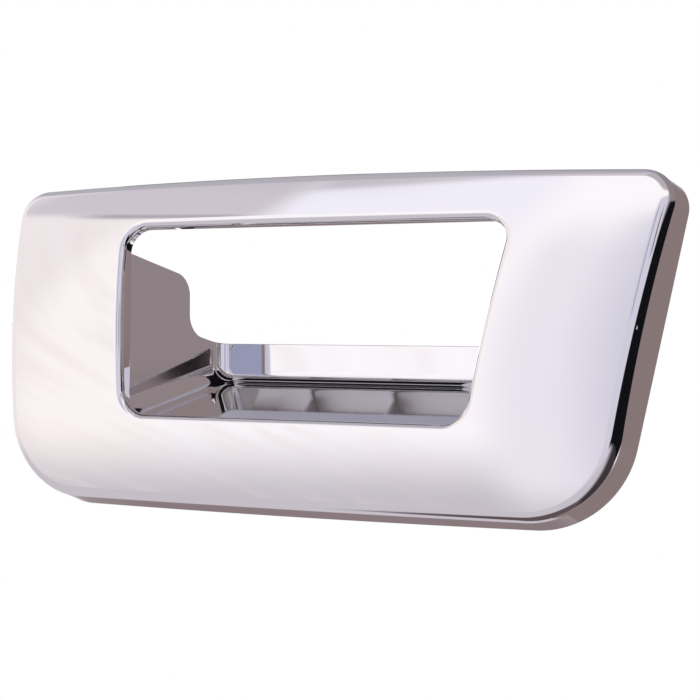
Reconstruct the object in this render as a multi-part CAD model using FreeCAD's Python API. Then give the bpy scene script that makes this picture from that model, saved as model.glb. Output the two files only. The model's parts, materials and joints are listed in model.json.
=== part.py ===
"""Tailgate handle bezel: one moulded, chrome plated shell, in millimetres.

-Y is the outward front, +Z up and +X right as the front is looked at. The plane
y = 0 is the seat, where the rear rim meets the tailgate skin, and the origin
is midway between the two screw bosses in that plane.
"""

import FreeCAD, Part
import math
import os

Vector = FreeCAD.Vector

# Lean of the sides, shared by the outline and the window
SIDE_LEAN_DEG = 8.2

# Outline at the seat, with gently arched top and bottom edges
RIM_MIDDLE_WIDTH = 280.6
RIM_TOP = 65.4
RIM_BOTTOM = -72.6
TOP_ARCH_RADIUS = 4500.0
BOTTOM_ARCH_RADIUS = 7500.0
TOP_CORNER_RADIUS = 13.0
BOTTOM_CORNER_RADIUS = 37.0

# Flange that runs forward from the seat to the crowned face
FLANGE_DRAFT_DEG = 4.8
EDGE_RADIUS = 5.0
INNER_BEVEL = 1.6
WALL = 2.6

# Crowned front face, highest a little above the middle
CROWN_HEIGHT = 27.3
CROWN_MIDDLE = 2.5
UPRIGHT_CROWN_RADIUS = 262.0
LEVEL_CROWN_RADIUS = 3000.0

# Window in the face, with a bevelled edge and a lip that turns back from it
WINDOW_MIDDLE_WIDTH = 159.2
WINDOW_TOP = 42.3
WINDOW_BOTTOM = -37.0
WINDOW_TOP_RADIUS = 9.0
WINDOW_BOTTOM_RADIUS = 11.0
WINDOW_BEVEL = 1.6
LIP_REAR = -18.0

# Hand pocket behind the window, a step wider than the lip
POCKET_STEP = 0.8
POCKET_DRAFT_DEG = 8.5
POCKET_DEPTH = 42.0
FLOOR_FRONT = -38.0
FLOOR_REAR = -9.5
SIDE_FLOOR_RADIUS = 10.0
BACK_RADIUS = 6.5

# Stepped upper edge of the pocket's walls
SIDE_WALL_TOP = 32.5
SIDE_WALL_DEPTH = 22.0
BACK_WALL_TOP = 7.5
STEP_RADIUS = 8.0

# Screw bosses on the hidden side, each with a blind pilot hole
BOSS_SPACING = 216.0
BOSS_RADIUS = 4.5
BOSS_HOLE_RADIUS = 1.9
BOSS_HOLE_DEPTH = 14.0

# Stiffening ribs on the hidden side
RIB_THICKNESS = 1.6
RIB_REAR = -5.0
RIB_SPACING = 44.0
RIB_COUNT = 4
RIB_SETBACK = 8.0

# Snap tabs whose hooks catch behind the tailgate skin
TAB_WIDTH = 13.0
TAB_THICKNESS = 2.2
TAB_INSET = 7.0
TAB_REAR = 9.0
TAB_HOOK = 1.8
TAB_HOOK_LAND = 1.0
SKIN_THICKNESS = 1.2
TOP_TAB_SPACING = 190.0
BOTTOM_TAB_SPACING = 140.0

# Length by which cutting forms run past what they cut
PAST = 20.0

# Slack for telling edges apart by where they lie
NEAR = 0.1

FORM_FRONT = -(CROWN_HEIGHT + PAST)
SIDE_SLOPE = math.tan(math.radians(SIDE_LEAN_DEG))
SIDE_SPREAD = math.hypot(1, SIDE_SLOPE)
FLANGE_TAPER = math.tan(math.radians(FLANGE_DRAFT_DEG))
POCKET_TAPER = math.tan(math.radians(POCKET_DRAFT_DEG))
FLOOR_SLOPE = (FLOOR_REAR - FLOOR_FRONT) / (POCKET_DEPTH - LIP_REAR)


def ring(middle_width, grow, low, high, y):
    """Four corners of a trapezoid at that y. Its sides lean as the bezel's do
    and are moved out by grow; the width is the one at z = 0."""
    middle_half = middle_width / 2 + grow * SIDE_SPREAD
    low_half = middle_half + SIDE_SLOPE * low
    high_half = middle_half + SIDE_SLOPE * high
    return [
        Vector(-low_half, y, low),
        Vector(low_half, y, low),
        Vector(high_half, y, high),
        Vector(-high_half, y, high),
    ]


def block(front, rear):
    """Solid between two rings of four corners."""
    outlines = [front, rear]
    for i in range(4):
        j = (i + 1) % 4
        outlines.append([front[i], front[j], rear[j], rear[i]])
    faces = [Part.Face(Part.makePolygon(ends + ends[:1])) for ends in outlines]
    return Part.makeSolid(Part.makeShell(faces))


def long_edges(solid):
    """The edges that run from front to rear."""
    ys = [v.Y for v in solid.Vertexes]
    reach = 0.9 * (max(ys) - min(ys))
    return [e for e in solid.Edges if abs(e.Vertexes[0].Y - e.Vertexes[-1].Y) > reach]


def round_corners(solid, bottom_radius, top_radius):
    """Round the four edges that run from front to rear."""
    for is_top, radius in ((False, bottom_radius), (True, top_radius)):
        edges = [e for e in long_edges(solid) if (e.CenterOfMass.z > 0) == is_top]
        solid = solid.makeFillet(radius, edges)
    return solid


def arch(centre_z, seat_radius):
    """Cone about a line along Y, for an arched edge with the flange's draft. It
    is turned so that its seam stays clear of the bezel."""
    front_radius = seat_radius + FORM_FRONT * FLANGE_TAPER
    base = Vector(0, FORM_FRONT, centre_z)
    axis = Vector(0, 1, 0)
    cone = Part.makeCone(front_radius, seat_radius, -FORM_FRONT, base, axis)
    cone.rotate(base, axis, 90)
    return cone


def crown_room(inset):
    """All the room behind the crowned face, set in by inset."""
    radius = UPRIGHT_CROWN_RADIUS - inset
    centre_y = UPRIGHT_CROWN_RADIUS - CROWN_HEIGHT
    reach = RIM_MIDDLE_WIDTH / 2
    end_y = centre_y - math.sqrt(radius**2 - reach**2)
    low = Vector(0, end_y, CROWN_MIDDLE - reach)
    high = Vector(0, end_y, CROWN_MIDDLE + reach)
    front = Vector(0, centre_y - radius, CROWN_MIDDLE)
    low_rear = Vector(0, end_y + PAST, low.z)
    high_rear = Vector(0, end_y + PAST, high.z)
    profile = Part.Wire([
        Part.Arc(low, front, high).toShape(),
        Part.makeLine(high, high_rear),
        Part.makeLine(high_rear, low_rear),
        Part.makeLine(low_rear, low),
    ])
    swing = math.degrees(math.asin((reach + PAST) / LEVEL_CROWN_RADIUS))
    pivot = Vector(0, LEVEL_CROWN_RADIUS - CROWN_HEIGHT, 0)
    face = Part.Face(profile)
    face.rotate(pivot, Vector(0, 0, 1), -swing)
    return face.revolve(pivot, Vector(0, 0, 1), 2 * swing)


def crown_face(solid):
    """The large doubly curved front face."""
    curved = [f for f in solid.Faces if isinstance(f.Surface, Part.Toroid)]
    return max(curved, key=lambda f: f.Area)


def flange_form(inset):
    """Solid form inside the flange and crown, set in by inset, its front edge
    still sharp."""
    low = RIM_BOTTOM - PAST
    high = RIM_TOP + PAST
    front = ring(RIM_MIDDLE_WIDTH, FORM_FRONT * FLANGE_TAPER - inset, low, high, FORM_FRONT)
    rear = ring(RIM_MIDDLE_WIDTH, -inset, low, high, 0)
    form = block(front, rear)
    form = form.common(arch(RIM_TOP - TOP_ARCH_RADIUS, TOP_ARCH_RADIUS - inset))
    form = form.common(arch(RIM_BOTTOM + BOTTOM_ARCH_RADIUS, BOTTOM_ARCH_RADIUS - inset))
    form = round_corners(form.Solids[0], BOTTOM_CORNER_RADIUS - inset, TOP_CORNER_RADIUS - inset)
    return form.common(crown_room(inset)).Solids[0]


def outer_form():
    """The front shell's outside, with its rounded front edge."""
    form = flange_form(0)
    return form.makeFillet(EDGE_RADIUS, crown_face(form).OuterWire.Edges)


def inner_form(inset):
    """The front shell's inside, with a bevel that follows the rounded edge."""
    form = flange_form(inset)
    return form.makeChamfer(INNER_BEVEL, crown_face(form).OuterWire.Edges)


def window_form(grow, rear_y):
    """Straight plug with the window's outline, grown by grow."""
    low = WINDOW_BOTTOM - grow
    high = WINDOW_TOP + grow
    front = ring(WINDOW_MIDDLE_WIDTH, grow, low, high, FORM_FRONT)
    rear = ring(WINDOW_MIDDLE_WIDTH, grow, low, high, rear_y)
    return round_corners(block(front, rear), WINDOW_BOTTOM_RADIUS + grow, WINDOW_TOP_RADIUS + grow)


def pocket_form(grow, front_y):
    """Drafted form of the pocket with its rising floor, grown by grow."""
    high = SIDE_WALL_TOP + PAST
    rear_y = POCKET_DEPTH + grow

    def section(y):
        """Ring of the pocket at that y."""
        low = FLOOR_FRONT + FLOOR_SLOPE * (y - LIP_REAR) - grow * math.hypot(1, FLOOR_SLOPE)
        side = POCKET_STEP - POCKET_TAPER * (y - LIP_REAR) + grow
        return ring(WINDOW_MIDDLE_WIDTH, side, low, high, y)

    form = block(section(front_y), section(rear_y))
    floor_sides = [e for e in long_edges(form) if e.CenterOfMass.z < 0]
    form = form.makeFillet(SIDE_FLOOR_RADIUS + grow, floor_sides)
    back = [e for e in form.Edges if e.BoundBox.YMin > rear_y - NEAR and e.CenterOfMass.z < high - NEAR]
    return form.makeFillet(BACK_RADIUS + grow, back)


def side_view():
    """Everything below the stepped upper edge of the pocket's walls."""
    near = LIP_REAR - PAST
    far = POCKET_DEPTH + PAST
    half = RIM_MIDDLE_WIDTH / 2
    outline = [
        (near, RIM_BOTTOM),
        (near, SIDE_WALL_TOP),
        (SIDE_WALL_DEPTH, SIDE_WALL_TOP),
        (SIDE_WALL_DEPTH, BACK_WALL_TOP),
        (far, BACK_WALL_TOP),
        (far, RIM_BOTTOM),
    ]
    corners = [Vector(-half, y, z) for y, z in outline]
    prism = Part.Face(Part.makePolygon(corners + corners[:1])).extrude(Vector(2 * half, 0, 0))
    steps = [
        e for e in prism.Edges
        if e.BoundBox.XLength > half and abs(e.CenterOfMass.y - SIDE_WALL_DEPTH) < NEAR
    ]
    return prism.makeFillet(STEP_RADIUS, steps)


def front_shell():
    """Crowned shell with its window, the window's bevelled edge and its lip."""
    hollow = inner_form(WALL).cut(window_form(WALL, LIP_REAR))
    shell = outer_form().cut(hollow).cut(window_form(0, 0)).Solids[0]
    face = crown_face(shell)
    rim = [e for wire in face.Wires if not wire.isSame(face.OuterWire) for e in wire.Edges]
    return shell.makeChamfer(WINDOW_BEVEL, rim)


def stiffeners():
    """Upright and level ribs and the screw bosses, ended inside the walls. The ribs
    above the window step back behind its lip, out of sight from the front."""
    forms = []
    length = -FORM_FRONT
    boss_xs = (-BOSS_SPACING / 2, BOSS_SPACING / 2)
    rib_xs = [(i - (RIB_COUNT - 1) / 2) * RIB_SPACING for i in range(RIB_COUNT)]
    for x in (*rib_xs, *boss_xs):
        corner = Vector(x - RIB_THICKNESS / 2, FORM_FRONT, RIM_BOTTOM)
        forms.append(Part.makeBox(RIB_THICKNESS, length + RIB_REAR, RIM_TOP - RIM_BOTTOM, corner))
    corner = Vector(-RIM_MIDDLE_WIDTH / 2, FORM_FRONT, -RIB_THICKNESS / 2)
    forms.append(Part.makeBox(RIM_MIDDLE_WIDTH, length + RIB_REAR, RIB_THICKNESS, corner))
    for x in boss_xs:
        forms.append(Part.makeCylinder(BOSS_RADIUS, length, Vector(x, FORM_FRONT, 0), Vector(0, 1, 0)))
    corner = Vector(-WINDOW_MIDDLE_WIDTH / 2, LIP_REAR, WINDOW_TOP)
    setback = Part.makeBox(WINDOW_MIDDLE_WIDTH, -LIP_REAR, RIB_SETBACK, corner)
    room = inner_form(WALL / 2).cut(window_form(WALL / 2, 0)).cut(setback)
    return [form.common(room) for form in forms]


def crown_y(x, z):
    """Where the crowned face lies at that x and z."""
    level = LEVEL_CROWN_RADIUS - math.sqrt(LEVEL_CROWN_RADIUS**2 - x**2)
    upright = UPRIGHT_CROWN_RADIUS - math.sqrt(UPRIGHT_CROWN_RADIUS**2 - (z - CROWN_MIDDLE) ** 2)
    return -CROWN_HEIGHT + level + upright


def snap_tab(x, z, outward):
    """Tab rooted in the face with its outer side at z. The hook points up where
    outward is 1 and down where it is -1."""
    root_y = crown_y(x, z) + WALL / 2
    inner = z - outward * TAB_THICKNESS
    hook = z + outward * TAB_HOOK
    tip = z - outward * TAB_THICKNESS / 2
    outline = [
        (root_y, inner),
        (root_y, z),
        (SKIN_THICKNESS, z),
        (SKIN_THICKNESS, hook),
        (SKIN_THICKNESS + TAB_HOOK_LAND, hook),
        (TAB_REAR, tip),
        (TAB_REAR, inner),
    ]
    corners = [Vector(x - TAB_WIDTH / 2, y, height) for y, height in outline]
    return Part.Face(Part.makePolygon(corners + corners[:1])).extrude(Vector(TAB_WIDTH, 0, 0))


def bezel():
    """The whole moulding as one solid."""
    pieces = stiffeners()
    pieces.append(pocket_form(WALL, LIP_REAR - WALL).common(side_view()))
    for side in (-1, 1):
        pieces.append(snap_tab(side * TOP_TAB_SPACING / 2, RIM_TOP - TAB_INSET, 1))
        pieces.append(snap_tab(side * BOTTOM_TAB_SPACING / 2, RIM_BOTTOM + TAB_INSET, -1))
    solid = front_shell().fuse(pieces)
    holes = [window_form(0, LIP_REAR), pocket_form(0, LIP_REAR)]
    for x in (-BOSS_SPACING / 2, BOSS_SPACING / 2):
        base = Vector(x, -BOSS_HOLE_DEPTH, 0)
        holes.append(Part.makeCylinder(BOSS_HOLE_RADIUS, 2 * BOSS_HOLE_DEPTH, base, Vector(0, 1, 0)))
    for hole in holes:
        solid = solid.cut(hole)
    return solid.removeSplitter().Solids[0]


def main():
    """Write the part's file."""
    os.makedirs("parts", exist_ok=True)
    bezel().exportStep("parts/handle_bezel.step")


main()
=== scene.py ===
"""Looks of the tailgate handle bezel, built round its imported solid.

Lengths are metres in the solid's frame: -Y is the outward front, +Z is up, and y = 0 is
the seat where the rear rim meets the tailgate skin. The moulding is one body.
"""

import json
import math
from typing import NamedTuple

import bmesh
import bpy
import numpy as np
from mathutils import Matrix, Vector


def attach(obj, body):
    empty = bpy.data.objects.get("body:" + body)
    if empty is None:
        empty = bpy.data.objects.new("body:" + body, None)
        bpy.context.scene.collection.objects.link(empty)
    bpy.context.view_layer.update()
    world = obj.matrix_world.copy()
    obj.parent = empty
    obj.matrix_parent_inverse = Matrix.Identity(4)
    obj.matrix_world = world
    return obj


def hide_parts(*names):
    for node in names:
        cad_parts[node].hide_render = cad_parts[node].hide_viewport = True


bl_info = {
    "name": "Tailgate handle bezel",
    "version": (1, 0, 0),
    "blender": (4, 5, 0),
    "location": "3D View > Sidebar > Bezel",
    "description": "Chrome plated surround for a tailgate handle, with its stage",
    "category": "Object",
}

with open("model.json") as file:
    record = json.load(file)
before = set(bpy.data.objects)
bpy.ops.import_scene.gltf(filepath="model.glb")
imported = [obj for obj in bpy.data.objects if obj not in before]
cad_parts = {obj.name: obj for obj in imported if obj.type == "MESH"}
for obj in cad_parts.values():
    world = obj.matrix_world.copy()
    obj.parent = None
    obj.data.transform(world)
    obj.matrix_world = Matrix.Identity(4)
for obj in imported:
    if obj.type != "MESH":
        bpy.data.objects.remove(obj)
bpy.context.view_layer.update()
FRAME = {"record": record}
TINT = tuple(FRAME["record"]["materials"][0]["base_color"])
NODE = "handle_bezel"
MM = 0.001

# Places of the two platings among a piece's materials, and how much the roughness of each
# varies in patches
FRONT_SIDE, REAR_SIDE = 0, 1
FRONT_PATCHES, REAR_PATCHES = 0.02, 0.1

# Lean of the sides, shared by the outline, the window and the pocket
SIDE_SLOPE = math.tan(math.radians(8.2))
SIDE_SPREAD = math.hypot(1, SIDE_SLOPE)

# Outlines: half width at z = 0, level edges with the radii of their arches, corner radii.
# The window's edges are straight, so their arches have a radius of a kilometre.
RIM = {
    "half_width": 140.3 * MM,
    "edges": (-72.6 * MM, 65.4 * MM),
    "arches": (7500 * MM, 4500 * MM),
    "corners": (37 * MM, 13 * MM),
}
WINDOW = {
    "half_width": 79.6 * MM,
    "edges": (-37 * MM, 42.3 * MM),
    "arches": (1000.0, 1000.0),
    "corners": (11 * MM, 9 * MM),
}

# Flange, crowned face and the lip round the window
FLANGE_TAPER = math.tan(math.radians(4.8))
FLANGE_STRETCH = math.hypot(1, FLANGE_TAPER)
CROWN_HEIGHT = 27.3 * MM
CROWN_MIDDLE = 2.5 * MM
UPRIGHT_CROWN_RADIUS = 262 * MM
LEVEL_CROWN_RADIUS = 3000 * MM
LIP_REAR = -18 * MM
LIP_CORNER = 0.8 * MM

# Rounds in which a depth and a height that depend on each other settle
ROLL_ROUNDS = 30
RIB_ROUNDS = 4

# Hand pocket
POCKET_STEP = 0.8 * MM
POCKET_TAPER = math.tan(math.radians(8.5))
POCKET_DEPTH = 42 * MM
POCKET_OVERLAP = 1.5 * MM
FLOOR_FRONT = -38 * MM
FLOOR_SLOPE = 28.5 / 60
FLOOR_STRETCH = math.hypot(1, FLOOR_SLOPE)
WALL_STRETCH = math.hypot(1, SIDE_SLOPE, SIDE_SPREAD * POCKET_TAPER)
SIDE_FLOOR_RADIUS = 10 * MM
BACK_RADIUS = 6.5 * MM
SIDE_WALL_TOP = 32.5 * MM
SIDE_WALL_DEPTH = 22 * MM
BACK_WALL_TOP = 7.5 * MM
STEP_RADIUS = 8 * MM

# Hidden side
RIB_REAR = -5 * MM
RIB_XS = (22 * MM, 66 * MM)
RIB_SETBACK = 8 * MM
RIB_STATIONS = 24
BOSS_X = 108 * MM
BOSS_FLARE = 1 * MM
BOSS_HOLE_DEPTH = 14 * MM
BOSS_HOLE_TIP = 0.6 * MM
TAB_THICKNESS = 2.2 * MM
TAB_HOOK = 1.8 * MM
TAB_REAR = 9 * MM
SKIN_THICKNESS = 1.2 * MM
TAB_LAND_REAR = SKIN_THICKNESS + 1 * MM
TAB_PLACES = ((95 * MM, 58.4 * MM, 1), (70 * MM, -65.6 * MM, -1))


class Card(NamedTuple):
    """One patch of the studio that the plating mirrors. Its sides are azimuths, from -Y
    towards +X, and its levels elevations, in degrees, and None leaves one open. The sides
    lean by so much for each degree of elevation, and the levels rise with azimuth."""

    color: tuple
    sides: tuple = (None, None)
    levels: tuple = (None, None)
    side_blur: float = 4
    level_blur: float = 4
    lean: float = 0
    rise: float = 0


# The studio: a large soft box, with each card laid over those before it
SOFT_BOX = (1.1, 1.07, 1.1)
CARDS = (
    # The soft box is cool above and rosy on the left, and the floor shows under it
    Card((0.99, 0.975, 1.07), sides=(-37, -19), levels=(25, None), level_blur=8),
    Card((1.1, 1.035, 1.01), sides=(None, -36.5), side_blur=6),
    Card((0.97, 0.9, 0.9), sides=(None, -42.5), side_blur=3),
    Card((0.63, 0.59, 0.645), levels=(None, -14.5), level_blur=15),
    # Lavender screens on the right
    Card((0.92, 0.885, 0.97), sides=(-17.6, 75), levels=(-21, 31), side_blur=3.4, level_blur=12),
    Card((0.7, 0.685, 0.8), sides=(-12.6, 75), levels=(-24, 35), side_blur=5, level_blur=6),
    # Grey screens overhead, with a dark joint along the front edge of one
    Card((0.5, 0.49, 0.52), levels=(47, None), level_blur=8),
    Card(
        (0.68, 0.63, 0.7), sides=(-51, -35), levels=(37.2, None), side_blur=3, level_blur=1.6, rise=0.15
    ),
    Card(
        (0.68, 0.63, 0.7), sides=(-35, -17), levels=(49.6, None), side_blur=3, level_blur=1.6, rise=0.36
    ),
    Card((0.5, 0.48, 0.53), sides=(-130, -30), levels=(41, None), side_blur=10, level_blur=14),
    Card((0.42, 0.37, 0.43), sides=(-46, -36), levels=(36.6, 37.4), level_blur=0.8, rise=0.15),
    # Grey walls at the rear left, over a bright card
    Card((0.46, 0.45, 0.49), sides=(None, -100), levels=(24, None), side_blur=20, level_blur=10),
    Card((0.34, 0.33, 0.41), sides=(None, -142), levels=(26, None), side_blur=5, level_blur=8),
    Card((1.3, 1.3, 1.42), sides=(None, -105), levels=(-1, 24), side_blur=10, level_blur=6),
    # Brown and dark room behind the object and below it, and the dark leaf that the pocket
    # mirrors
    Card((0.3, 0.25, 0.262), sides=(70, None), levels=(15, 80), side_blur=30, level_blur=8),
    Card((0.26, 0.205, 0.215), sides=(41, 50), levels=(17, 25), side_blur=2, level_blur=2),
    Card(
        (0.004, 0.004, 0.004), sides=(44.6, 46.7), levels=(19.8, 22.6), side_blur=0.4, level_blur=0.4
    ),
    Card((0.05, 0.04, 0.045), sides=(52, 148), levels=(None, -16), side_blur=44, level_blur=8),
    Card((0.12, 0.09, 0.1), levels=(None, -66), level_blur=6),
    Card((0.265, 0.21, 0.22), sides=(None, -140), levels=(-32, -5), side_blur=14, level_blur=14),
    Card(
        (0.006, 0.006, 0.008), sides=(48, 150), levels=(-19, 18.5), side_blur=5, level_blur=5, lean=1.09
    ),
    Card((0.265, 0.205, 0.205), sides=(149, None), levels=(-70, 34), side_blur=5, level_blur=16),
    # Blue card that the pocket's rear wall mirrors
    Card((0.38, 0.4, 0.57), sides=(3, 12), levels=(12, 34), side_blur=2, level_blur=3),
)

# Rosy folds in the soft box's cloth: their limits in degrees, how fast they change across
# and along themselves, and how far they lean
FOLD_COLOR = (0.93, 0.82, 0.82)
FOLD_STRENGTH = 0.45
FOLD_SIDES = (-60, -22)
FOLD_LEVELS = (-24, 29)
FOLD_ACROSS = 0.9
FOLD_ALONG = 0.1
FOLD_LEAN = 0.45

# Level black card over the pocket for a painted dark reflection, which only the plating mirrors: its limits
# in x and y, and its height
PAINTED_REFLECTION_X = (-110 * MM, 12 * MM)
PAINTED_REFLECTION_Y = (-4 * MM, 38 * MM)
PAINTED_REFLECTION_Z = 78 * MM

# Share of the floor's radius at which its fade begins
FADE_START = 0.3

# Soft lamp, aimed at the origin
LAMP_SIZE = 1.4
LAMP_PLACE = (-0.2, -0.5, 1.5)

# Camera: the point it is aimed at and its distance, its turn about Z, tilt and roll in
# degrees, and its lens in millimetres
CAMERA_AIM = (0.01885, -0.01, -0.00655)
CAMERA_DISTANCE = 0.63285
CAMERA_ANGLES = (26.2321, -11.4947, -6.2935)
CAMERA_LENS = 82.658


# Sizes and colours that a user would change


class BezelForm(bpy.types.PropertyGroup):
    """Sizes of the moulding's walls and rounded edges."""

    wall: bpy.props.FloatProperty(
        name="Wall", description="Thickness of the moulding",
        default=2.6 * MM, min=0.001, unit="LENGTH"
    )
    edge_radius: bpy.props.FloatProperty(
        name="Front edge", description="Radius between the flange and the face",
        default=5 * MM, unit="LENGTH"
    )
    window_roll: bpy.props.FloatProperty(
        name="Window roll", description="Radius of the window's rolled edge",
        default=2.8 * MM, unit="LENGTH"
    )
    fine_edge: bpy.props.FloatProperty(
        name="Fine edge", description="Radius that breaks the rear and rim edges",
        default=0.3 * MM, unit="LENGTH"
    )
    rib_thickness: bpy.props.FloatProperty(
        name="Rib", description="Thickness of the stiffening ribs",
        default=1.6 * MM, unit="LENGTH"
    )
    boss_radius: bpy.props.FloatProperty(
        name="Screw boss", description="Outer radius of the screw bosses",
        default=4.5 * MM, unit="LENGTH"
    )
    pilot_radius: bpy.props.FloatProperty(
        name="Pilot hole", description="Radius of the blind hole in each boss",
        default=1.9 * MM, unit="LENGTH"
    )
    tab_width: bpy.props.FloatProperty(
        name="Snap tab", description="Width of the snap tabs",
        default=13 * MM, unit="LENGTH"
    )


class BezelFinish(bpy.types.PropertyGroup):
    """Colour and gloss of the plating."""

    plating: bpy.props.FloatVectorProperty(
        name="Plating", description="Tint of the chrome plating", subtype="COLOR", size=3,
        default=TINT, min=0.0, max=1.0
    )
    roughness: bpy.props.FloatProperty(
        name="Roughness", description="Roughness of the plated face",
        default=0.03, min=0.0, max=1.0
    )
    back_roughness: bpy.props.FloatProperty(
        name="Back roughness", description="Roughness of the thin plating behind",
        default=0.5, min=0.0, max=1.0
    )
    wave: bpy.props.FloatProperty(
        name="Wave", description="Height of the slow waves in the moulded face",
        default=0.01 * MM, unit="LENGTH"
    )


class BezelStage(bpy.types.PropertyGroup):
    """Floor, light and background."""

    floor_height: bpy.props.FloatProperty(
        name="Floor height", description="Height of the floor below the bezel",
        default=-0.3, unit="LENGTH"
    )
    floor_radius: bpy.props.FloatProperty(
        name="Floor radius", description="Distance at which the floor has faded",
        default=2.5, unit="LENGTH"
    )
    floor_color: bpy.props.FloatVectorProperty(
        name="Floor", description="Colour of the floor", subtype="COLOR", size=3,
        default=(0.82, 0.82, 0.82)
    )
    lamp_power: bpy.props.FloatProperty(
        name="Lamp power", description="Power of the soft lamp overhead",
        default=14.0, unit="POWER"
    )
    room_light: bpy.props.FloatProperty(
        name="Room light", description="Even light on everything but the plating",
        default=0.7, min=0.0
    )


# Curves and surfaces as whole arrays


def slerp(first, last, share):
    """Unit vectors turned evenly from first to last: with w the angle between them,
    sin((1 - share) w) first + sin(share w) last, over sin w."""
    angle = np.arccos(np.clip((first * last).sum(-1, keepdims=True), -1, 1))
    return (np.sin((1 - share) * angle) * first + np.sin(share * angle) * last) / np.sin(angle)


def eased(count):
    """Shares between 0 and 1, closer together near both ends: half of 1 - cos(pi t)."""
    return (0.5 - 0.5 * np.cos(np.linspace(0, math.pi, count + 2)[1:-1]))[:, None]


def quarter(count):
    """What a rounded edge leaves of each side, 1 - cos t and 1 - sin t, over a quarter turn."""
    turn = np.linspace(0, math.pi / 2, count)[:, None]
    return 1 - np.cos(turn), 1 - np.sin(turn)


def stretches(counts):
    """Number of the stretch, and share along it, for each point of a path."""
    index = np.repeat(np.arange(len(counts)), counts)
    share = np.concatenate([np.arange(n) / n for n in counts])
    return np.append(index, len(counts) - 1), np.append(share, 1.0)


HALF_PATH = stretches((44, 26, 36, 20, 44))


def half_outline(form, grow, rounder):
    """Right half of an outline from bottom middle to top middle, moved out by grow, with
    corner radii larger by rounder. A corner's centre keeps its radius from the leaning side
    x = m + s z and from the arch, which gives a quadratic for its height. The outward
    normal turns evenly along each arc. Returns x, z and the normal."""
    index, share = HALF_PATH
    middle = form["half_width"] + grow * SIDE_SPREAD
    side_angle = -math.atan(SIDE_SLOPE)
    ends = []
    for sign, edge, arch, corner in zip((-1, 1), form["edges"], form["arches"], form["corners"]):
        radius = corner + rounder
        arch_z = edge - sign * arch
        inner = middle - radius * SIDE_SPREAD
        square = 1 + SIDE_SLOPE**2
        linear = inner * SIDE_SLOPE - arch_z
        rest = inner**2 + arch_z**2 - (arch + grow - radius) ** 2
        z = (-linear + sign * np.sqrt(linear**2 - square * rest)) / square
        x = inner + SIDE_SLOPE * z
        ends.append((radius, x, z, arch + grow, arch_z, np.arctan2(z - arch_z, x)))
    low_r, low_x, low_z, low_arch, low_arch_z, low_turn = ends[0]
    top_r, top_x, top_z, top_arch, top_arch_z, top_turn = ends[1]
    turns = (
        (-math.pi / 2, low_turn), (low_turn, side_angle), (side_angle, side_angle),
        (side_angle, top_turn), (top_turn, math.pi / 2),
    )
    angle = np.choose(index, [start + (end - start) * share + 0 * grow for start, end in turns])
    cos, sin = np.cos(angle), np.sin(angle)
    side_start = (low_x + low_r * cos, low_z + low_r * sin)
    side_end = (top_x + top_r * cos, top_z + top_r * sin)
    side = [start + (end - start) * share for start, end in zip(side_start, side_end)]
    x = np.choose(index, [low_arch * cos, side_start[0], side[0], side_end[0], top_arch * cos])
    z = np.choose(index, [
        low_arch_z + low_arch * sin, side_start[1], side[1], side_end[1], top_arch_z + top_arch * sin
    ])
    return x, z, np.stack([cos, np.zeros_like(cos), sin], -1)


def crown(x, z, inset):
    """The crowned face set in by inset: an upright arc swung about an upright axis far
    behind. Returns its y and its outward normal, which points away from the arc's centre."""
    tube = UPRIGHT_CROWN_RADIUS - inset
    pivot = LEVEL_CROWN_RADIUS - CROWN_HEIGHT
    core = LEVEL_CROWN_RADIUS - UPRIGHT_CROWN_RADIUS
    rise = z - CROWN_MIDDLE
    ring = core + np.sqrt(tube**2 - rise**2)
    y = pivot - np.sqrt(ring**2 - x**2)
    away = 1 - core / ring
    return y, np.stack([x * away, (y - pivot) * away, rise], -1) / tube


def rim_rows(y, inset):
    """Flange points at each y, drawn in by its draft and by inset."""
    x, z, _ = half_outline(RIM, FLANGE_TAPER * y - inset, -inset)
    return np.stack([x, y + 0 * x, z], -1)


def window_rows(y, grow):
    """Points at each y of the window's upright wall, grown by grow."""
    x, z, _ = half_outline(WINDOW, grow, grow)
    y = y + 0 * x
    return np.stack([x + 0 * y, y, z + 0 * y], -1)


def flange_normals(y):
    """Outward normals of the flange: the outline's normal n, tipped forward by n . d, where
    d is how far the outline moves for each step in y."""
    ahead = rim_rows(y + MM, 0)
    behind = rim_rows(y - MM, 0)
    _, _, normal = half_outline(RIM, FLANGE_TAPER * y, 0)
    drift = ((ahead - behind) * normal).sum(-1) / (2 * MM)
    tipped = normal - drift[:, None] * np.array([0, 1, 0])
    return tipped / np.linalg.norm(tipped, axis=-1, keepdims=True)


def edge_roll(inset, radius, count):
    """Ball of that radius rolled along the corner between flange and face, both set in by
    inset. Its centres lie on both surfaces set in by radius more, and each row is a centre
    plus radius times a normal turned from the flange's to the face's."""
    reach = inset + radius
    y = np.full(HALF_PATH[0].shape, LIP_REAR)
    for _ in range(ROLL_ROUNDS):
        x, z, _ = half_outline(RIM, FLANGE_TAPER * y - inset - radius * FLANGE_STRETCH, -reach)
        y, face_normal = crown(x, z, reach)
    shares = np.linspace(0, 1, count)[:, None, None]
    return np.stack([x, y, z], -1) + radius * slerp(flange_normals(y), face_normal, shares)


def lip_roll(inset, radius, count):
    """The same between the face and the window's wall, the normals turned from the face's
    to the one that points into the window. With an inset the ball runs behind the face, in
    the corner that the lip makes with it."""
    reach = inset + radius
    x, z, outward = half_outline(WINDOW, reach, reach)
    y, face_normal = crown(x, z, reach)
    shares = np.linspace(0, 1, count)[:, None, None]
    return np.stack([x, y, z], -1) + radius * slerp(face_normal, -outward, shares)


def face_rows(first, last, inset, count):
    """Rows on the crowned face between two of its lines, straight in x and z."""
    rows = first + (last - first) * eased(count)[..., None]
    rows[..., 1] = crown(rows[..., 0], rows[..., 2], inset)[0]
    return rows


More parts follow.
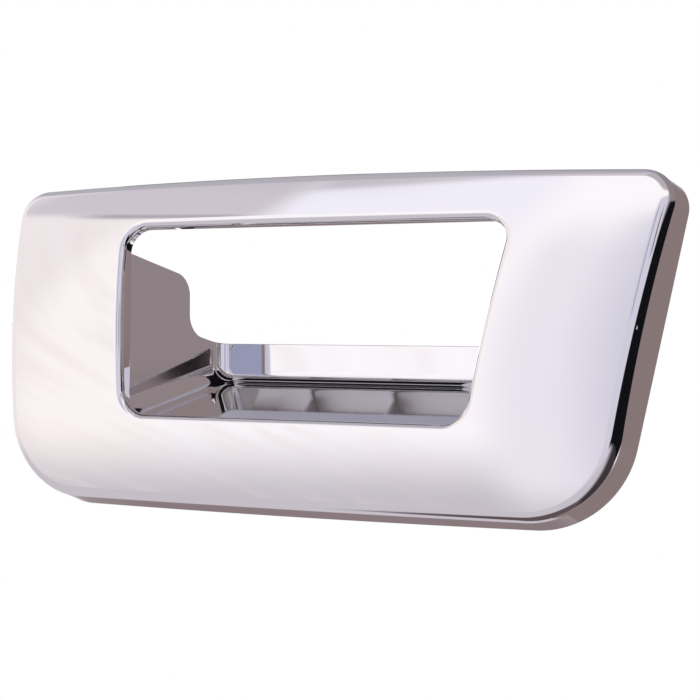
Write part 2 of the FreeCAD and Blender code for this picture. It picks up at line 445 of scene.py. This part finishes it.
def shell_rows(wall, edge_radius, window_roll, fine):
    """Closed profile of the front shell along its right half: rim, flange, front edge,
    face, window roll and lip, then back along the inside. Returns the rows and the number
    of those before the hidden side."""
    side, end = quarter(4)
    outer = edge_roll(0, edge_radius, 17)
    roll = lip_roll(0, window_roll, 13)
    corner = lip_roll(wall, LIP_CORNER, 6)[::-1]
    inner = edge_roll(wall, edge_radius - wall, 9)[::-1]
    lip_end = LIP_REAR - fine
    seen = np.concatenate([
        rim_rows(-fine * side, fine * end),
        rim_rows(-fine + (outer[0, :, 1] + fine) * eased(12), 0),
        outer,
        face_rows(outer[-1], roll[0], 0, 54),
        roll,
        window_rows(roll[-1, :, 1] + (lip_end - roll[-1, :, 1]) * eased(6), 0),
        window_rows(LIP_REAR - fine * end, fine * side),
    ])
    hidden = np.concatenate([
        window_rows(LIP_REAR - fine * side, wall - fine * end),
        window_rows(lip_end + (corner[0, :, 1] - lip_end) * eased(4), wall),
        corner,
        face_rows(corner[-1], inner[0], wall, 24),
        inner,
        rim_rows(inner[-1, :, 1] + (-fine - inner[-1, :, 1]) * eased(10), wall),
        rim_rows(-fine * end, wall - fine * side),
    ])
    return np.concatenate([seen, hidden]), len(seen)


def pocket_side(y, z, inset):
    """x of the pocket's right wall, a drafted and leaning plane, set in by inset."""
    drawn_in = SIDE_SPREAD * (POCKET_STEP - POCKET_TAPER * (y - LIP_REAR))
    return WINDOW["half_width"] + SIDE_SLOPE * z + drawn_in - inset * WALL_STRETCH


def pocket_floor(y, inset):
    """z of the pocket's rising floor, set in by inset."""
    return FLOOR_FRONT + FLOOR_SLOPE * (y - LIP_REAR) + inset * FLOOR_STRETCH


def fillet_axis(y):
    """Point at that y on the axis of the rounded corner between floor and right wall."""
    z = pocket_floor(y, SIDE_FLOOR_RADIUS)
    return np.stack([pocket_side(y, z, SIDE_FLOOR_RADIUS), y, z], -1)


def wall_top(counts, start, end, drop):
    """Upper edge of the side wall in y and z, from the front to the rear: level, over a
    convex quarter turn, down, out of a concave quarter turn and level again. The edge is
    moved in by drop, which shrinks the convex turn and grows the concave one."""
    index, share = stretches(counts)
    turn = share * math.pi / 2
    high = SIDE_WALL_TOP - STEP_RADIUS
    low = BACK_WALL_TOP + STEP_RADIUS
    front = SIDE_WALL_DEPTH - STEP_RADIUS
    rear = SIDE_WALL_DEPTH + STEP_RADIUS
    y = np.choose(index, [
        start + (front - start) * share,
        front + (STEP_RADIUS - drop) * np.sin(turn),
        SIDE_WALL_DEPTH - drop + 0 * share,
        rear - (STEP_RADIUS + drop) * np.cos(turn),
        rear + (end - rear) * share,
    ])
    z = np.choose(index, [
        SIDE_WALL_TOP - drop + 0 * share,
        high + (STEP_RADIUS - drop) * np.cos(turn),
        high + (low - high) * share,
        low - (STEP_RADIUS + drop) * np.sin(turn),
        BACK_WALL_TOP - drop + 0 * share,
    ])
    return y, z


def pocket_half(inset, drop):
    """Right half of the pocket's surface set in by inset, from the middle of its floor up
    its right wall, its upper edge lowered by drop. Rows run from the lip to the rear, round
    the back corner, whose ball has one centre for every inset, and up the back wall."""
    floor_normal = np.array([0, -FLOOR_SLOPE, 1]) / FLOOR_STRETCH
    wall_normal = np.array([-1, -SIDE_SPREAD * POCKET_TAPER, SIDE_SLOPE]) / WALL_STRETCH
    index, share = stretches((30, 16, 22))
    turned = slerp(floor_normal, wall_normal, share[:, None])
    above_floor = np.where((index == 1)[:, None], turned, wall_normal)
    normal = np.where((index == 0)[:, None], floor_normal, above_floor)
    ball_y = POCKET_DEPTH - BACK_RADIUS
    ball = BACK_RADIUS - inset
    start = LIP_REAR - POCKET_OVERLAP
    end = ball_y - ball * normal[:, 1]
    counts = (20, 12, 8, 12, 6)

    # The lower rows spread out roughly as the wall's upper edge turns above them
    marks = np.cumsum((0, *counts))[[0, 1, 4, 5]]
    along = np.interp(np.arange(sum(counts) + 1), marks, [0, 0.42, 0.92, 1])[:, None]
    y = start + (end - start) * along

    def section(y, shrink):
        """Floor, corner and foot of the wall at each y, moved in by shrink."""
        reach = SIDE_FLOOR_RADIUS - shrink
        points = fillet_axis(y + reach * normal[:, 1]) - reach * normal
        points[..., 0] = np.where(index == 0, points[..., 0] * share, points[..., 0])
        return points

    points = section(y, inset)
    top_y, top_z = wall_top(counts, start, end[-1], drop)
    on_wall = index == 2
    up = share * on_wall
    points[..., 1] += (top_y[:, None] - points[..., 1]) * up
    points[..., 2] += (top_z[:, None] - points[..., 2]) * up
    points[..., 0] = np.where(on_wall, pocket_side(points[..., 1], points[..., 2], inset), points[..., 0])

    turn = np.linspace(0, 1, 12)[1:, None, None]
    toward = slerp(-normal, np.array([0.0, 1.0, 0.0]), turn)
    centres = section(np.full((1, len(index)), ball_y), BACK_RADIUS) + 0 * toward
    top = BACK_WALL_TOP - drop - ball * toward[..., 2]
    centres[..., 2] += (top - centres[..., 2]) * up
    leaning = pocket_side(centres[..., 1], centres[..., 2], BACK_RADIUS)
    centres[..., 0] = np.where(on_wall, leaning, centres[..., 0])
    back_corner = centres + ball * toward

    foot = back_corner[-1]
    run = np.append(0, np.cumsum(np.linalg.norm(np.diff(foot, axis=0), axis=-1)))
    top_line = foot.copy()
    top_line[:, 0] = foot[-1, 0] * run / run[-1]
    top_line[:, 2] = BACK_WALL_TOP - drop
    rise = np.linspace(0, 1, 12)[1:, None, None]
    back_wall = foot + (top_line - foot) * rise
    return np.concatenate([points, back_corner, back_wall])


def upper_edge(grid):
    """A pocket surface's upper edge, along its right wall and back to its middle."""
    return np.concatenate([grid[:, -1], grid[-1, -2::-1]])


def mirrored(points):
    """The same points on the left side."""
    return points * np.array([-1, 1, 1])


def both_sides(blocks):
    """Blocks of points, faces and material, with their mirror images turned to face out."""
    return blocks + [
        (mirrored(points), [face[::-1] for face in faces], side) for points, faces, side in blocks
    ]


def pocket_blocks(wall, fine):
    """The pocket's closed wall: its inner and outer surfaces, the front edge between them,
    which the lip hides, and an upper edge rounded on both sides by quarter turns."""
    side, end = (array[:, 0] for array in quarter(4))
    inner = pocket_half(0, fine)
    outer = pocket_half(-wall, fine)
    insets = np.concatenate([-fine * side, -wall + fine * side[::-1]])
    drops = np.concatenate([fine * end, fine * end[::-1]])
    edge = np.stack([upper_edge(pocket_half(inset, drop)) for inset, drop in zip(insets, drops)])
    front = np.stack([outer[0], inner[0]])
    sheets = [
        (inner, FRONT_SIDE), (edge[:, ::-1], FRONT_SIDE), (front, FRONT_SIDE), (outer[::-1], REAR_SIDE),
    ]
    blocks = [(grid, grid_faces(*grid.shape[:2]), side) for grid, side in sheets]
    blocks.append((edge[:, 0], [list(range(len(edge)))[::-1]], FRONT_SIDE))
    return both_sides(blocks)


def whole_loop(half):
    """Closes a right half that starts and ends at x = 0 with its mirror image."""
    return np.concatenate([half, mirrored(half[:, -2:0:-1])], axis=1)


def grid_faces(rows, columns, rows_close=False, columns_close=False):
    """Corner numbers of a grid's four-sided faces, wrapped round where it closes."""
    row = np.arange(rows if rows_close else rows - 1)[:, None]
    column = np.arange(columns if columns_close else columns - 1)[None]
    next_row = (row + 1) % rows
    next_column = (column + 1) % columns
    corners = [
        row * columns + column,
        row * columns + next_column,
        next_row * columns + next_column,
        next_row * columns + column,
    ]
    return np.stack(corners, -1).reshape(-1, 4).tolist()


def flange_z(x, y, inset, sign):
    """Height of the flange's top or bottom at that x and y, read off its outline."""
    outline_x, outline_z, _ = half_outline(RIM, FLANGE_TAPER * y - inset, -inset)
    widest = int(np.argmax(outline_x))
    part = slice(None, widest) if sign < 0 else slice(None, widest, -1)
    return float(np.interp(abs(x), outline_x[part], outline_z[part]))


def upright_rib(x, thickness, inset, ends, step):
    """Four corners of a rib at stations from its low to its high end: the front ones
    inside the face's wall, the rear ones level behind the step's height and, below it,
    drawn forward to the lip's rear. Each end is a height for each y."""
    stations = np.linspace(0, 1, RIB_STATIONS)
    front_y = np.full(RIB_STATIONS, LIP_REAR)
    for _ in range(RIB_ROUNDS):
        front_z = np.array([ends[0](y) + (ends[1](y) - ends[0](y)) * s for y, s in zip(front_y, stations)])
        front_y = crown(x, front_z, inset)[0]
    low, high = ends[0](RIB_REAR), ends[1](RIB_REAR)
    split = int(RIB_STATIONS * max(step - low, 0) / (high - low))
    turns = [0, stations[split], stations[split + 1], 1]
    rear_z = low + (high - low) * stations
    if split:
        rear_z = np.interp(stations, turns, [low, step, step, high])
    rear_y = np.where(rear_z < step, LIP_REAR, RIB_REAR)
    rear_y[split] = LIP_REAR if split else RIB_REAR
    left, right = x - thickness / 2 + 0 * stations, x + thickness / 2 + 0 * stations
    corners = [
        (right, front_y, front_z), (right, rear_y, rear_z), (left, rear_y, rear_z), (left, front_y, front_z),
    ]
    return np.stack([np.stack(corner, -1) for corner in corners], 1)


def level_rib(thickness, inset):
    """The same for the rib at z = 0, from the lip's wall out to the flange's."""
    stations = np.linspace(0, 1, RIB_STATIONS)
    start = WINDOW["half_width"] + inset * SIDE_SPREAD
    rear_end = RIM["half_width"] + (FLANGE_TAPER * RIB_REAR - inset) * SIDE_SPREAD
    front_end = RIM["half_width"] + (FLANGE_TAPER * LIP_REAR - inset) * SIDE_SPREAD
    front_x = start + (front_end - start) * stations
    rear_x = start + (rear_end - start) * stations
    front_y = crown(front_x, 0 * stations, inset)[0]
    rear_y = RIB_REAR + 0 * stations
    low, high = -thickness / 2 + 0 * stations, thickness / 2 + 0 * stations
    corners = [
        (rear_x, rear_y, low), (rear_x, rear_y, high), (front_x, front_y, high), (front_x, front_y, low),
    ]
    return np.stack([np.stack(corner, -1) for corner in corners], 1)


def boss_rows(radius, pilot, wall, fine):
    """Screw boss turned about its axis: a profile of radius and y, flared at its root, with
    broken edges at its rear end and a blind pilot hole with a conical bottom."""
    root = float(crown(BOSS_X, 0.0, wall / 2)[0])
    inside = float(crown(BOSS_X, 0.0, wall)[0])
    side, end = (array[:, 0] for array in quarter(6))
    profile = [
        np.array([[0, root], [radius + BOSS_FLARE, root]]),
        np.stack([radius + BOSS_FLARE * end, inside + BOSS_FLARE * side], -1),
        np.stack([radius - fine * side, -fine * end], -1),
        np.stack([pilot + fine * end, -fine * side], -1),
        np.array([[pilot, -BOSS_HOLE_DEPTH], [0, -BOSS_HOLE_DEPTH - BOSS_HOLE_TIP]]),
    ]
    profile = np.concatenate(profile)
    turn = np.linspace(2 * math.pi, 0, 48, endpoint=False)
    r, y = profile[:, :1], profile[:, 1:]
    return np.stack([BOSS_X + r * np.cos(turn), y + 0 * turn, r * np.sin(turn)], -1)


def tab_rows(x, z, outward, wall, width):
    """Outline of a snap tab in y and z, at both of its sides. The hook points up where
    outward is 1 and down where it is -1."""
    root = float(crown(x, z, wall / 2)[0])
    inner = z - outward * TAB_THICKNESS
    hook = z + outward * TAB_HOOK
    outline = np.array([
        (root, inner), (root, z), (SKIN_THICKNESS, z), (SKIN_THICKNESS, hook), (TAB_LAND_REAR, hook),
        (TAB_REAR, z - outward * TAB_THICKNESS / 2), (TAB_REAR, inner),
    ])
    if outward > 0:
        outline = outline[::-1]
    across = np.array([x - width / 2, x + width / 2])
    return np.stack([
        across[:, None] + 0 * outline[:, 0],
        outline[:, 0] + 0 * across[:, None],
        outline[:, 1] + 0 * across[:, None],
    ], -1)


# Meshes


def add_mesh(context, name, blocks):
    """One smooth plated object from blocks of points, faces and material, on the bezel's
    body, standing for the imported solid. Points that fall together are merged."""
    points = []
    faces = []
    sides = []
    total = 0
    for block_points, block_faces, side in blocks:
        flat = block_points.reshape(-1, 3)
        points.append(flat)
        faces += [[corner + total for corner in face] for face in block_faces]
        sides += [side] * len(block_faces)
        total += len(flat)
    mesh = bpy.data.meshes.new(name)
    mesh.from_pydata(np.concatenate(points), [], faces)
    mesh.materials.append(front_plating(context.scene.bezel_finish))
    mesh.materials.append(rear_plating(context.scene.bezel_finish))
    mesh.polygons.foreach_set("material_index", sides)
    form = bmesh.new()
    form.from_mesh(mesh)
    bmesh.ops.remove_doubles(form, verts=form.verts, dist=0.001 * MM)
    form.to_mesh(mesh)
    form.free()
    mesh.shade_smooth()
    piece = bpy.data.objects.new(name, mesh)
    context.scene.collection.objects.link(piece)
    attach(piece, "root")
    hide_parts(NODE)
    return piece


def add_bevel(piece, width, segments):
    """Break the piece's sharp edges."""
    bevel = piece.modifiers.new("Broken edges", "BEVEL")
    bevel.width = width
    bevel.segments = segments
    bevel.limit_method = "ANGLE"
    bevel.angle_limit = math.radians(50)
    bevel.use_clamp_overlap = True


def level_normals(piece):
    """Let large faces set the shading where they run into a rounded edge."""
    weighted = piece.modifiers.new("Level normals", "WEIGHTED_NORMAL")
    weighted.keep_sharp = True


# Materials


class Value:
    """A socket with Python's operators, each of which adds its Math node."""

    def __init__(self, shader, socket):
        self.shader = shader
        self.socket = socket

    def math(self, operation, *others):
        """Math node on this value and others."""
        inputs = dict(enumerate((self, *others)))
        return self.shader.add("ShaderNodeMath", {"operation": operation}, inputs)[0]

    def __add__(self, other):
        return self.math("ADD", other)

    __radd__ = __add__

    def __sub__(self, other):
        return self.math("SUBTRACT", other)

    def __rsub__(self, other):
        return self.math("MULTIPLY_ADD", -1.0, other)

    def __mul__(self, other):
        return self.math("MULTIPLY", other)

    __rmul__ = __mul__

    def between(self, limits, blur):
        """1 between the limits and 0 outside, both edges soft. A limit of None is open."""
        low, high = limits
        share = 1.0
        if low is not None:
            share = self.over(low - blur / 2, low + blur / 2)
        if high is not None:
            share = share * self.over(high + blur / 2, high - blur / 2)
        return share

    def over(self, start, end):
        """Smooth step from 0 at start to 1 at end."""
        settings = {"interpolation_type": "SMOOTHSTEP"}
        inputs = {"Value": self, "From Min": start, "From Max": end}
        return self.shader.add("ShaderNodeMapRange", settings, inputs)[0]


# Places of the colour sockets among a Mix node's inputs, of a Mix Shader node's inputs, and
# of the outputs used of the Texture Coordinate and Light Path nodes
MIX_SHARE, MIX_FIRST, MIX_LAST = 0, 6, 7
BLEND_SHARE, BLEND_FIRST, BLEND_LAST = 0, 1, 2
OBJECT_PLACE = 3
CAMERA_RAY, GLOSSY_RAY, TRANSMISSION_RAY = 0, 3, 6


class Shader:
    """Node tree that is written as expressions."""

    def __init__(self, tree):
        self.tree = tree
        tree.nodes.clear()

    def add(self, kind, settings=None, inputs=None):
        """Node of that type, its settings first and then the values or links of its
        sockets. Returns its outputs as values."""
        node = self.tree.nodes.new(kind)
        for name, value in (settings or {}).items():
            setattr(node, name, value)
        for name, value in (inputs or {}).items():
            socket = node.inputs[name]
            if isinstance(value, Value):
                self.tree.links.new(value.socket, socket)
            else:
                socket.default_value = value
        return [Value(self, socket) for socket in node.outputs if socket.enabled]

    def mix(self, share, first, last):
        """Colour between first and last."""
        inputs = {MIX_SHARE: share, MIX_FIRST: first, MIX_LAST: last}
        return self.add("ShaderNodeMix", {"data_type": "RGBA"}, inputs)[0]

    def noise(self, place, scale, detail):
        """Value of a noise pattern at that place."""
        inputs = {"Vector": place, "Scale": scale, "Detail": detail}
        return self.add("ShaderNodeTexNoise", None, inputs)[0]


def new_material(name):
    """Material of that name, and the shader that writes its nodes."""
    material = bpy.data.materials.new(name)
    material.use_nodes = True
    return material, Shader(material.node_tree)


def plating_material(name, tint, roughness, roughness_spread, wave):
    """Metal plating. Its tint turns a little warmer where a slow drift is high. Its
    roughness is the given one, plus the spread times that drift, plus 0.4 of the spread
    times a fine grain. Slow waves of the given height tip its surface."""
    material, shader = new_material(name)
    place = shader.add("ShaderNodeTexCoord")[OBJECT_PLACE]
    drift = shader.noise(place, scale=9.0, detail=2.0)
    grain = shader.noise(place, scale=220.0, detail=3.0)
    waves = shader.noise(place, scale=26.0, detail=1.0)
    warm = (tint[0], tint[1] * 0.99, tint[2] * 0.975, 1)
    base = shader.mix(drift.over(0.35, 0.65), (*tint, 1), warm)
    rough = roughness + roughness_spread * drift + 0.4 * roughness_spread * grain
    normal = shader.add("ShaderNodeBump", None, {"Strength": 1.0, "Distance": wave, "Height": waves})[0]
    surface = shader.add("ShaderNodeBsdfPrincipled", None, {
        "Base Color": base, "Metallic": 1.0, "Roughness": rough, "Normal": normal,
    })[0]
    shader.add("ShaderNodeOutputMaterial", None, {"Surface": surface})
    return material


def floor_material(color, radius):
    """Matt floor with a faint speckle. For the camera it fades to the white background, by
    a smooth step of the distance from its middle that ends at radius."""
    material, shader = new_material("pale_floor")
    place = shader.add("ShaderNodeTexCoord")[OBJECT_PLACE]
    speckle = shader.noise(place, scale=6.0, detail=3.0)
    darker = [part * 0.97 for part in color]
    tone = shader.mix(speckle, (*color, 1), (*darker, 1))
    matt = shader.add("ShaderNodeBsdfPrincipled", None, {"Base Color": tone, "Roughness": 0.9})[0]
    white = shader.add("ShaderNodeEmission", None, {"Color": (1, 1, 1, 1), "Strength": 1.0})[0]
    distance = shader.add("ShaderNodeVectorMath", {"operation": "LENGTH"}, {0: place})[0]
    fade = distance.over(FADE_START * radius, radius) * shader.add("ShaderNodeLightPath")[CAMERA_RAY]
    blend = {BLEND_SHARE: fade, BLEND_FIRST: matt, BLEND_LAST: white}
    surface = shader.add("ShaderNodeMixShader", None, blend)[0]
    shader.add("ShaderNodeOutputMaterial", None, {"Surface": surface})
    return material


def painted_reflection_material():
    """Black that gives no light back, for the card that paints a dark reflection into the pocket."""
    material, shader = new_material("painted_reflection_card")
    inputs = {"Color": (0.004, 0.004, 0.005, 1), "Strength": 1.0}
    black = shader.add("ShaderNodeEmission", None, inputs)[0]
    shader.add("ShaderNodeOutputMaterial", None, {"Surface": black})
    return material


def shared_plating(name, finish, roughness, spread):
    """The plating of that name, made for the first piece and shared by the others."""
    known = bpy.data.materials.get(name)
    return known or plating_material(name, tuple(finish.plating), roughness, spread, finish.wave)


def front_plating(finish):
    """The mirror plating of everything that shows from the front."""
    return shared_plating("mirror_plating", finish, finish.roughness, FRONT_PATCHES)


def rear_plating(finish):
    """The thinner, duller plating of the hidden side."""
    return shared_plating("rear_plating", finish, finish.back_roughness, REAR_PATCHES)


# Operators


class BEZEL_OT_shell(bpy.types.Operator):
    """Crowned front shell with its flange, window roll and lip"""

    bl_idname = "bezel.shell"
    bl_label = "Add front shell"

    def execute(self, context):
        form = context.scene.bezel_form
        half, hidden = shell_rows(form.wall, form.edge_radius, form.window_roll, form.fine_edge)
        points = whole_loop(half)
        faces = grid_faces(points.shape[0], points.shape[1], True, True)
        seam = hidden * points.shape[1]
        blocks = [(points, faces[:seam], FRONT_SIDE), (points, faces[seam:], REAR_SIDE)]
        shell = add_mesh(context, "front_shell", blocks)
        level_normals(shell)
        return {"FINISHED"}


class BEZEL_OT_pocket(bpy.types.Operator):
    """Hand pocket with its rising floor and stepped walls"""

    bl_idname = "bezel.pocket"
    bl_label = "Add hand pocket"

    def execute(self, context):
        form = context.scene.bezel_form
        blocks = pocket_blocks(form.wall, form.fine_edge)
        pocket = add_mesh(context, "hand_pocket", blocks)
        level_normals(pocket)
        return {"FINISHED"}


class BEZEL_OT_ribs(bpy.types.Operator):
    """Stiffening ribs on the hidden side"""

    bl_idname = "bezel.ribs"
    bl_label = "Add ribs"

    def execute(self, context):
        form = context.scene.bezel_form
        inset = form.wall / 2
        window_ends = [WINDOW["edges"][0] - inset, WINDOW["edges"][1] + inset]
        setback = WINDOW["edges"][1] + RIB_SETBACK
        ribs = []
        for x in RIB_XS:
            low = (lambda y, x=x: flange_z(x, y, inset, -1), lambda y: window_ends[0])
            high = (lambda y: window_ends[1], lambda y, x=x: flange_z(x, y, inset, 1))
            ribs.append(upright_rib(x, form.rib_thickness, inset, low, RIM["edges"][0]))
            ribs.append(upright_rib(x, form.rib_thickness, inset, high, setback))
        full = (lambda y: flange_z(BOSS_X, y, inset, -1), lambda y: flange_z(BOSS_X, y, inset, 1))
        ribs.append(upright_rib(BOSS_X, form.rib_thickness, inset, full, RIM["edges"][0]))
        ribs.append(level_rib(form.rib_thickness, inset))
        last = 4 * RIB_STATIONS
        ends = [[3, 2, 1, 0], [last - 4, last - 3, last - 2, last - 1]]
        faces = grid_faces(RIB_STATIONS, 4, False, True) + ends
        blocks = both_sides([(rib, faces, REAR_SIDE) for rib in ribs])
        piece = add_mesh(context, "stiffening_ribs", blocks)
        add_bevel(piece, form.fine_edge, 2)
        level_normals(piece)
        return {"FINISHED"}


class BEZEL_OT_bosses(bpy.types.Operator):
    """Screw bosses with blind pilot holes"""

    bl_idname = "bezel.bosses"
    bl_label = "Add screw bosses"

    def execute(self, context):
        form = context.scene.bezel_form
        rows = boss_rows(form.boss_radius, form.pilot_radius, form.wall, form.fine_edge)
        faces = grid_faces(rows.shape[0], rows.shape[1], False, True)
        bosses = add_mesh(context, "screw_bosses", both_sides([(rows, faces, REAR_SIDE)]))
        level_normals(bosses)
        return {"FINISHED"}


class BEZEL_OT_tabs(bpy.types.Operator):
    """Snap tabs that catch behind the tailgate skin"""

    bl_idname = "bezel.tabs"
    bl_label = "Add snap tabs"

    def execute(self, context):
        form = context.scene.bezel_form
        blocks = []
        for x, z, outward in TAB_PLACES:
            rows = tab_rows(x, z, outward, form.wall, form.tab_width)
            count = rows.shape[1]
            ends = [list(range(count))[::-1], list(range(count, 2 * count))]
            blocks.append((rows, grid_faces(2, count, False, True) + ends, REAR_SIDE))
        tabs = add_mesh(context, "snap_tabs", both_sides(blocks))
        add_bevel(tabs, form.fine_edge, 3)
        level_normals(tabs)
        return {"FINISHED"}


class BEZEL_OT_stage(bpy.types.Operator):
    """Floor, black card for a painted dark reflection, soft light, background and the photograph's camera"""

    bl_idname = "bezel.stage"
    bl_label = "Add stage"

    def execute(self, context):
        settings = context.scene.bezel_stage
        self.add_floor(context, settings)
        self.add_painted_reflection(context)
        self.add_lamp(context, settings)
        self.add_camera(context)
        self.add_world(context, settings)
        context.scene.view_settings.view_transform = "Standard"
        return {"FINISHED"}

    def add_level(self, context, name, x, y, height, material):
        """Level four-sided card of the stage between those limits."""
        mesh = bpy.data.meshes.new(name)
        corners = [(x[0], y[0], height), (x[1], y[0], height), (x[1], y[1], height), (x[0], y[1], height)]
        mesh.from_pydata(corners, [], [(0, 1, 2, 3)])
        mesh.materials.append(material)
        card = bpy.data.objects.new(name, mesh)
        context.scene.collection.objects.link(card)
        return card

    def add_floor(self, context, settings):
        """Floor that takes the shadow and isn't mirrored, so the cards alone are."""
        span = (-settings.floor_radius, settings.floor_radius)
        material = floor_material(tuple(settings.floor_color), settings.floor_radius)
        floor = self.add_level(context, "floor", span, span, settings.floor_height, material)
        floor.visible_glossy = False

    def add_painted_reflection(self, context):
        """Black card that only the plating mirrors: a painted dark reflection in the foot of the pocket's
        rear wall, standing in for the dark hollow that the real pocket mirrors there.
        """
        painted_card = self.add_level(context, "painted_reflection_card", PAINTED_REFLECTION_X, PAINTED_REFLECTION_Y, PAINTED_REFLECTION_Z, painted_reflection_material())
        # Hidden from all but the plating, so the black card paints a dark reflection and nothing else
        painted_card.visible_camera = False
        painted_card.visible_diffuse = False
        painted_card.visible_shadow = False

    def add_lamp(self, context, settings):
        """Soft lamp high in front, which gives the floor its shadow."""
        lamp = bpy.data.lights.new("soft_lamp", "AREA")
        lamp.energy = settings.lamp_power
        lamp.size = LAMP_SIZE
        holder = bpy.data.objects.new("soft_lamp", lamp)
        holder.location = LAMP_PLACE
        holder.rotation_euler = (-holder.location).to_track_quat("-Z", "Y").to_euler()
        holder.visible_glossy = False
        context.scene.collection.objects.link(holder)

    def add_camera(self, context):
        """Camera at the photograph's viewing angle, low to the right."""
        turn, tilt, roll = (math.radians(angle) for angle in CAMERA_ANGLES)
        back = Vector((math.sin(turn) * math.cos(tilt), -math.cos(turn) * math.cos(tilt), math.sin(tilt)))
        level = Vector((math.cos(turn), math.sin(turn), 0))
        up = back.cross(level)
        right = math.cos(roll) * level - math.sin(roll) * up
        upward = math.sin(roll) * level + math.cos(roll) * up
        camera = bpy.data.cameras.new("camera")
        camera.sensor_width = 36
        camera.lens = CAMERA_LENS
        camera.clip_start = 0.01
        camera.clip_end = 50
        holder = bpy.data.objects.new("camera", camera)
        place = Vector(CAMERA_AIM) + CAMERA_DISTANCE * back
        axes = Matrix((right, upward, back)).transposed()
        holder.matrix_world = Matrix.Translation(place) @ axes.to_4x4()
        context.scene.collection.objects.link(holder)
        context.scene.camera = holder

    def add_world(self, context, settings):
        """White to the camera, the soft box with its cards and folds to the plating, and an
        even light to everything else. A card's share is its band of azimuth times its band
        of elevation, both with soft edges. The folds' share is a noise pattern drawn out
        along a leaning line, kept to the cloth by two such bands."""
        world = bpy.data.worlds.new("studio")
        world.use_nodes = True
        context.scene.world = world
        shader = Shader(world.node_tree)
        direction = shader.add("ShaderNodeTexCoord")[OBJECT_PLACE]
        x, y, z = shader.add("ShaderNodeSeparateXYZ", None, {"Vector": direction})
        azimuth = x.math("ARCTAN2", -1 * y) * math.degrees(1)
        elevation = z.math("ARCSINE") * math.degrees(1)
        seen = (*SOFT_BOX, 1)
        for card in CARDS:
            turned = azimuth - card.lean * elevation if card.lean else azimuth
            raised = elevation - card.rise * azimuth if card.rise else elevation
            beside = turned.between(card.sides, card.side_blur)
            above = raised.between(card.levels, card.level_blur)
            seen = shader.mix(beside * above, seen, (*card.color, 1))
        inputs = {"X": FOLD_ACROSS * azimuth + FOLD_LEAN * elevation, "Y": FOLD_ALONG * elevation}
        drawn_out = shader.add("ShaderNodeCombineXYZ", None, inputs)[0]
        folds = shader.noise(drawn_out, scale=0.9, detail=3.0)
        cloth = azimuth.between(FOLD_SIDES, 8) * elevation.between(FOLD_LEVELS, 6)
        seen = shader.mix(FOLD_STRENGTH * folds.over(0.42, 0.7) * cloth, seen, (*FOLD_COLOR, 1))
        light = shader.add("ShaderNodeLightPath")
        even = (settings.room_light, settings.room_light, settings.room_light, 1)
        in_plating = light[GLOSSY_RAY].math("MAXIMUM", light[TRANSMISSION_RAY])
        around = shader.mix(in_plating, even, seen)
        background = shader.mix(light[CAMERA_RAY], around, (1, 1, 1, 1))
        glow = shader.add("ShaderNodeBackground", None, {"Color": background, "Strength": 1.0})[0]
        shader.add("ShaderNodeOutputWorld", None, {"Surface": glow})


class BEZEL_PT_panel(bpy.types.Panel):
    """The bezel's sizes, finish and stage"""

    bl_idname = "BEZEL_PT_panel"
    bl_label = "Tailgate handle bezel"
    bl_space_type = "VIEW_3D"
    bl_region_type = "UI"
    bl_category = "Bezel"

    def draw(self, context):
        for operator in OPERATORS:
            self.layout.operator(operator.bl_idname)
        for group in (context.scene.bezel_form, context.scene.bezel_finish, context.scene.bezel_stage):
            box = self.layout.box()
            for name in group.__annotations__:
                box.prop(group, name)


OPERATORS = (BEZEL_OT_shell, BEZEL_OT_pocket, BEZEL_OT_ribs, BEZEL_OT_bosses, BEZEL_OT_tabs, BEZEL_OT_stage)
CLASSES = (BezelForm, BezelFinish, BezelStage, *OPERATORS, BEZEL_PT_panel)


def register():
    """Add the classes and the scene's settings."""
    for added in CLASSES:
        bpy.utils.register_class(added)
    bpy.types.Scene.bezel_form = bpy.props.PointerProperty(type=BezelForm)
    bpy.types.Scene.bezel_finish = bpy.props.PointerProperty(type=BezelFinish)
    bpy.types.Scene.bezel_stage = bpy.props.PointerProperty(type=BezelStage)


def unregister():
    """Take them away again."""
    del bpy.types.Scene.bezel_stage
    del bpy.types.Scene.bezel_finish
    del bpy.types.Scene.bezel_form
    for added in reversed(CLASSES):
        bpy.utils.unregister_class(added)


def main():
    """Build every piece and the stage."""
    register()
    bpy.ops.bezel.shell()
    bpy.ops.bezel.pocket()
    bpy.ops.bezel.ribs()
    bpy.ops.bezel.bosses()
    bpy.ops.bezel.tabs()
    bpy.ops.bezel.stage()


if __name__ == "__main__":
    main()
